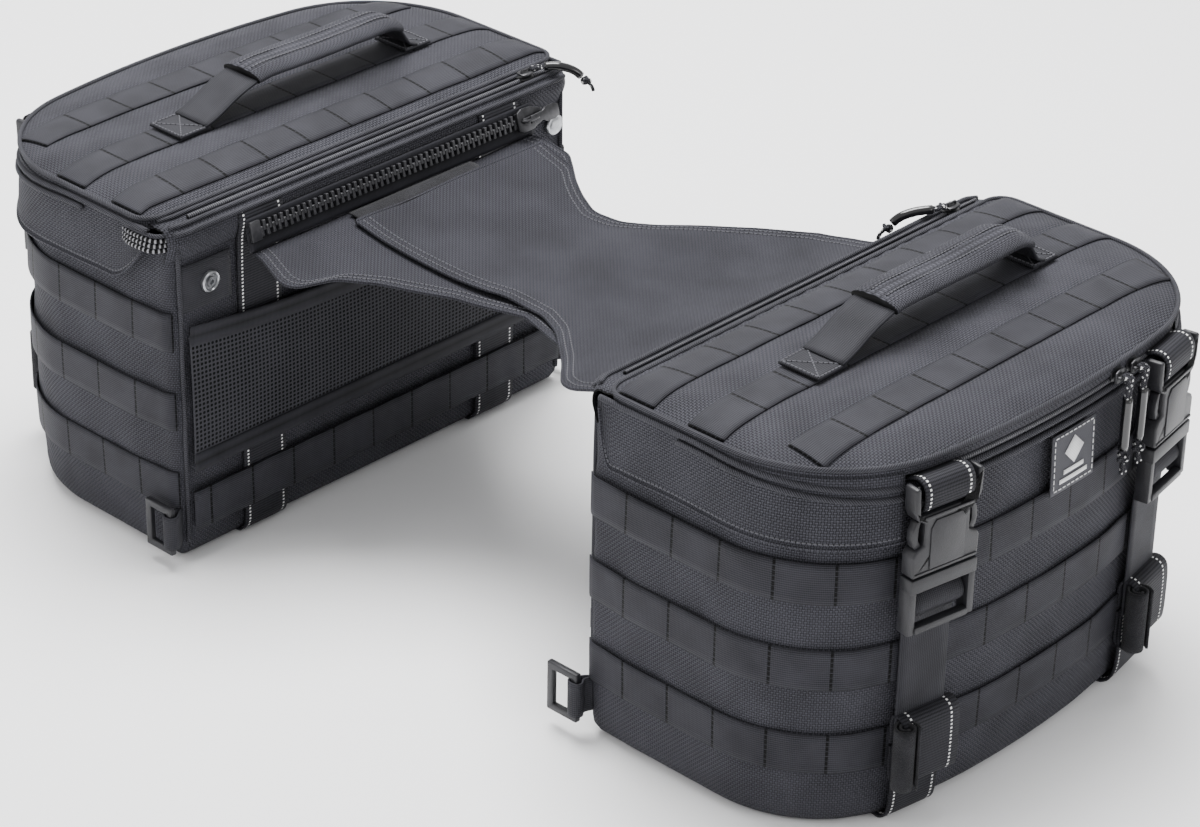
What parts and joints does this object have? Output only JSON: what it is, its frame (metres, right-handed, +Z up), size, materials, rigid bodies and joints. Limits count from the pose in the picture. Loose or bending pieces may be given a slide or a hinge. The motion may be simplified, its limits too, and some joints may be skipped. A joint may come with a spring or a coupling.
{
  "type": "saddlebag",
  "caption": "Pair of soft motorcycle saddlebags joined by a zip-on adjustable cloth yoke, with hinged zip lids, buckled compression straps, carry handles and tie-down rings.",
  "frame": {"origin": "on the ground, midway between the two bags", "axes": "+X from the left bag to the right bag, +Y along the bags to their far ends, +Z up"},
  "size_m": [0.796, 0.4452, 0.296],
  "materials": {
    "ballistic_nylon": "coarse basket-woven nylon, matt with a faint sheen on the yarn",
    "ribbed_canvas": "ribbed polyester canvas, matt",
    "webbing": "ribbed nylon webbing, satin",
    "mesh": "open knitted mesh",
    "acetal": "moulded acetal, fine spark texture",
    "coil_zip": "nylon coil on woven tape",
    "moulded_zip": "moulded teeth on woven tape",
    "gunmetal": "die-cast, black enamel",
    "nickel": "nickel plate",
    "cord": "braided cord with reflective fleck in a gloss sleeve",
    "stiffener_board": "polyethylene board"
  },
  "bodies": {
    "left_bag": {"left_shell": "ballistic_nylon", "left_base_board": "stiffener_board", "left_back_board": "stiffener_board", "left_outer_zip": "coil_zip", "left_inner_zip": "coil_zip", "left_mesh_pocket": "mesh", "left_snap": "nickel", "left_front_buckle_socket": "acetal", "left_rear_buckle_socket": "acetal", "left_front_upper_strap": "webbing", "left_rear_upper_strap": "webbing", "left_front_lower_strap": "webbing", "left_rear_lower_strap": "webbing", "yoke_zip_left": "moulded_zip"},
    "left_lid_body": {"left_lid": "ballistic_nylon"},
    "left_handle_body": {"left_handle": "webbing"},
    "left_outer_slider_a_body": {"left_outer_slider_a": "gunmetal"},
    "left_outer_pull_a_body": {"left_outer_pull_a": "cord"},
    "left_outer_slider_b_body": {"left_outer_slider_b": "gunmetal"},
    "left_outer_pull_b_body": {"left_outer_pull_b": "cord"},
    "left_inner_slider_body": {"left_inner_slider": "gunmetal"},
    "left_inner_pull_body": {"left_inner_pull": "cord"},
    "left_front_plug_body": {"left_front_buckle_plug": "acetal"},
    "left_front_keeper_body": {"left_front_strap_keeper": "webbing"},
    "left_front_ring_body": {"left_front_tie_ring": "acetal"},
    "left_rear_plug_body": {"left_rear_buckle_plug": "acetal"},
    "left_rear_keeper_body": {"left_rear_strap_keeper": "webbing"},
    "left_rear_ring_body": {"left_rear_tie_ring": "acetal"},
    "left_yoke_slider_body": {"yoke_slider_left": "gunmetal"},
    "right_bag": {"right_shell": "ballistic_nylon", "right_base_board": "stiffener_board", "right_back_board": "stiffener_board", "right_outer_zip": "coil_zip", "right_inner_zip": "coil_zip", "right_mesh_pocket": "mesh", "right_snap": "nickel", "right_front_buckle_socket": "acetal", "right_rear_buckle_socket": "acetal", "right_front_upper_strap": "webbing", "right_rear_upper_strap": "webbing", "right_front_lower_strap": "webbing", "right_rear_lower_strap": "webbing", "yoke_zip_right": "moulded_zip"},
    "right_lid_body": {"right_lid": "ballistic_nylon"},
    "right_handle_body": {"right_handle": "webbing"},
    "right_outer_slider_a_body": {"right_outer_slider_a": "gunmetal"},
    "right_outer_pull_a_body": {"right_outer_pull_a": "cord"},
    "right_outer_slider_b_body": {"right_outer_slider_b": "gunmetal"},
    "right_outer_pull_b_body": {"right_outer_pull_b": "cord"},
    "right_inner_slider_body": {"right_inner_slider": "gunmetal"},
    "right_inner_pull_body": {"right_inner_pull": "cord"},
    "right_front_plug_body": {"right_front_buckle_plug": "acetal"},
    "right_front_keeper_body": {"right_front_strap_keeper": "webbing"},
    "right_front_ring_body": {"right_front_tie_ring": "acetal"},
    "right_rear_plug_body": {"right_rear_buckle_plug": "acetal"},
    "right_rear_keeper_body": {"right_rear_strap_keeper": "webbing"},
    "right_rear_ring_body": {"right_rear_tie_ring": "acetal"},
    "right_yoke_slider_body": {"yoke_slider_right": "gunmetal"},
    "yoke_lower_body": {"yoke_lower_panel": "ribbed_canvas"},
    "yoke_upper_body": {"yoke_upper_panel": "ribbed_canvas"}
  },
  "joints": [
    {"name": "left_yoke_slider_travel", "type": "slide", "parent": "left_bag", "child": "left_yoke_slider_body", "axis": [0, -1, 0], "range_m": [0, 0.234]},
    {"name": "right_yoke_slider_travel", "type": "slide", "parent": "right_bag", "child": "right_yoke_slider_body", "axis": [0, -1, 0], "range_m": [0, 0.234]},
    {"name": "left_yoke_fold", "type": "hinge", "parent": "left_bag", "child": "yoke_lower_body", "pos_m": [-0.157, -0.024, 0.221], "axis": [0, -1, 0], "range_deg": [-30, 50]},
    {"name": "yoke_width", "type": "slide", "parent": "yoke_lower_body", "child": "yoke_upper_body", "axis": [1, 0, 0], "range_m": [0, 0.05]},
    {"name": "right_yoke_fold", "type": "hinge", "parent": "yoke_upper_body", "child": "right_bag", "pos_m": [0.157, 0.024, 0.2245], "axis": [0, -1, 0], "range_deg": [-30, 50]},
    {"name": "left_lid_hinge", "type": "hinge", "parent": "left_bag", "child": "left_lid_body", "pos_m": [-0.183, -0.024, 0.257], "axis": [0, 1, 0], "range_deg": [0, 100]},
    {"name": "left_handle_swing", "type": "hinge", "parent": "left_lid_body", "child": "left_handle_body", "pos_m": [-0.263, -0.024, 0.267], "axis": [0, 1, 0], "range_deg": [-40, 40]},
    {"name": "left_outer_slider_a_travel", "type": "hinge", "parent": "left_bag", "child": "left_outer_slider_a_body", "pos_m": [0.4, -0.024, 0.25], "axis": [0, 0, 1], "range_deg": [0, 9.7]},
    {"name": "left_outer_pull_a_swing", "type": "hinge", "parent": "left_outer_slider_a_body", "child": "left_outer_pull_a_body", "pos_m": [-0.39137, 0.03273, 0.251], "axis": [0.0715, 0.9974, 0], "range_deg": [0, 110]},
    {"name": "left_outer_slider_b_travel", "type": "hinge", "parent": "left_bag", "child": "left_outer_slider_b_body", "pos_m": [0.4, -0.024, 0.25], "axis": [0, 0, 1], "range_deg": [0, 8.8]},
    {"name": "left_outer_pull_b_swing", "type": "hinge", "parent": "left_outer_slider_b_body", "child": "left_outer_pull_b_body", "pos_m": [-0.38988, 0.05067, 0.251], "axis": [0.0941, 0.9956, 0], "range_deg": [0, 110]},
    {"name": "left_inner_slider_travel", "type": "slide", "parent": "left_bag", "child": "left_inner_slider_body", "axis": [0, -1, 0], "range_m": [0, 0.29]},
    {"name": "left_inner_pull_lift", "type": "hinge", "parent": "left_inner_slider_body", "child": "left_inner_pull_body", "pos_m": [-0.1735, 0.1374, 0.2606], "axis": [1, 0, 0], "range_deg": [0, 100]},
    {"name": "left_front_buckle_release", "type": "slide", "parent": "left_bag", "child": "left_front_plug_body", "axis": [0, 0, -1], "range_m": [0, 0.038]},
    {"name": "left_front_keeper_slide", "type": "slide", "parent": "left_bag", "child": "left_front_keeper_body", "axis": [0, 0, 1], "range_m": [0, 0.025]},
    {"name": "left_front_ring_swing", "type": "hinge", "parent": "left_bag", "child": "left_front_ring_body", "pos_m": [-0.1675, -0.22035, 0.03], "axis": [0, 0, 1], "range_deg": [0, 190]},
    {"name": "left_rear_buckle_release", "type": "slide", "parent": "left_bag", "child": "left_rear_plug_body", "axis": [0, 0, -1], "range_m": [0, 0.038]},
    {"name": "left_rear_keeper_slide", "type": "slide", "parent": "left_bag", "child": "left_rear_keeper_body", "axis": [0, 0, 1], "range_m": [0, 0.025]},
    {"name": "left_rear_ring_swing", "type": "hinge", "parent": "left_bag", "child": "left_rear_ring_body", "pos_m": [-0.1675, 0.17235, 0.03], "axis": [0, 0, -1], "range_deg": [0, 190]},
    {"name": "right_lid_hinge", "type": "hinge", "parent": "right_bag", "child": "right_lid_body", "pos_m": [0.183, 0.024, 0.257], "axis": [0, -1, 0], "range_deg": [0, 100]},
    {"name": "right_handle_swing", "type": "hinge", "parent": "right_lid_body", "child": "right_handle_body", "pos_m": [0.263, 0.024, 0.267], "axis": [0, 1, 0], "range_deg": [-40, 40]},
    {"name": "right_outer_slider_a_travel", "type": "hinge", "parent": "right_bag", "child": "right_outer_slider_a_body", "pos_m": [-0.4, 0.024, 0.25], "axis": [0, 0, -1], "range_deg": [0, 9.7]},
    {"name": "right_outer_pull_a_swing", "type": "hinge", "parent": "right_outer_slider_a_body", "child": "right_outer_pull_a_body", "pos_m": [0.39137, 0.08073, 0.251], "axis": [0.0715, -0.9974, 0], "range_deg": [0, 110]},
    {"name": "right_outer_slider_b_travel", "type": "hinge", "parent": "right_bag", "child": "right_outer_slider_b_body", "pos_m": [-0.4, 0.024, 0.25], "axis": [0, 0, -1], "range_deg": [0, 8.8]},
    {"name": "right_outer_pull_b_swing", "type": "hinge", "parent": "right_outer_slider_b_body", "child": "right_outer_pull_b_body", "pos_m": [0.38988, 0.09867, 0.251], "axis": [0.0941, -0.9956, 0], "range_deg": [0, 110]},
    {"name": "right_inner_slider_travel", "type": "slide", "parent": "right_bag", "child": "right_inner_slider_body", "axis": [0, -1, 0], "range_m": [0, 0.29]},
    {"name": "right_inner_pull_lift", "type": "hinge", "parent": "right_inner_slider_body", "child": "right_inner_pull_body", "pos_m": [0.1735, 0.1666, 0.2606], "axis": [-1, 0, 0], "range_deg": [0, 100]},
    {"name": "right_front_buckle_release", "type": "slide", "parent": "right_bag", "child": "right_front_plug_body", "axis": [0, 0, -1], "range_m": [0, 0.038]},
    {"name": "right_front_ring_swing", "type": "hinge", "parent": "right_bag", "child": "right_front_ring_body", "pos_m": [0.1675, -0.17235, 0.03], "axis": [0, 0, -1], "range_deg": [-180, 10]},
    {"name": "right_rear_buckle_release", "type": "slide", "parent": "right_bag", "child": "right_rear_plug_body", "axis": [0, 0, -1], "range_m": [0, 0.038]},
    {"name": "right_rear_ring_swing", "type": "hinge", "parent": "right_bag", "child": "right_rear_ring_body", "pos_m": [0.1675, 0.22035, 0.03], "axis": [0, 0, 1], "range_deg": [0, 190]},
    {"name": "right_front_keeper_slide", "type": "slide", "parent": "right_bag", "child": "right_front_keeper_body", "axis": [0, 0, 1], "range_m": [0, 0.025]},
    {"name": "right_rear_keeper_slide", "type": "slide", "parent": "right_bag", "child": "right_rear_keeper_body", "axis": [0, 0, 1], "range_m": [0, 0.025]}
  ],
  "couplings": [
    {"joint": "left_outer_slider_b_travel", "follows": "left_outer_slider_a_travel", "ratio": 0.9},
    {"joint": "right_outer_slider_b_travel", "follows": "right_outer_slider_a_travel", "ratio": 0.9}
  ]
}
